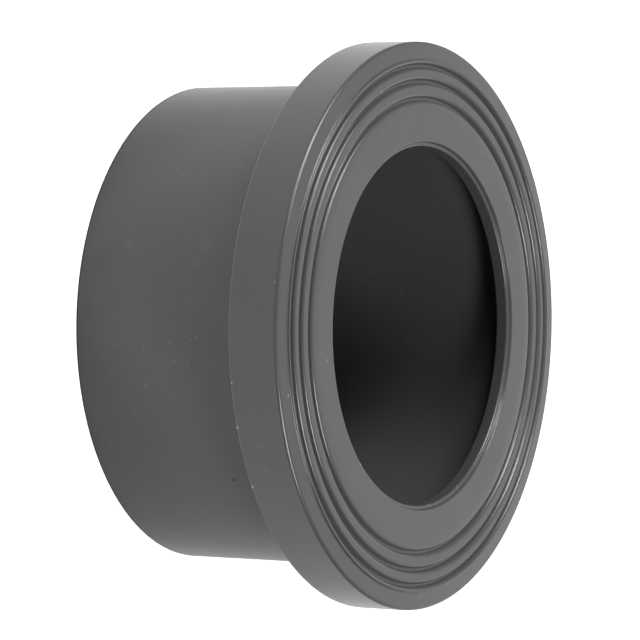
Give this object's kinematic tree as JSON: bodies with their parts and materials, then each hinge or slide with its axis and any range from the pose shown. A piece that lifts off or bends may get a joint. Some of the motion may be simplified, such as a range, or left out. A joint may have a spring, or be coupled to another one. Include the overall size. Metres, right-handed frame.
{
  "type": "flanged sleeve",
  "caption": "Grey moulded plastic pipe sleeve with a socket bore and a wide flange whose flat jointing face carries concentric grooves.",
  "frame": {"origin": "centre of the sleeve's end, on the surface that the sleeve stands on", "axes": "+Z along the pipe's axis, out of the grooved jointing face; X and Y are alike"},
  "size_m": [0.09, 0.09, 0.0408],
  "materials": {
    "moulded_pvc": "dark grey rigid PVC with a satin moulded skin, a little scuffed on the sleeve"
  },
  "bodies": {
    "root": {"flanged_sleeve": "moulded_pvc"}
  },
  "joints": []
}
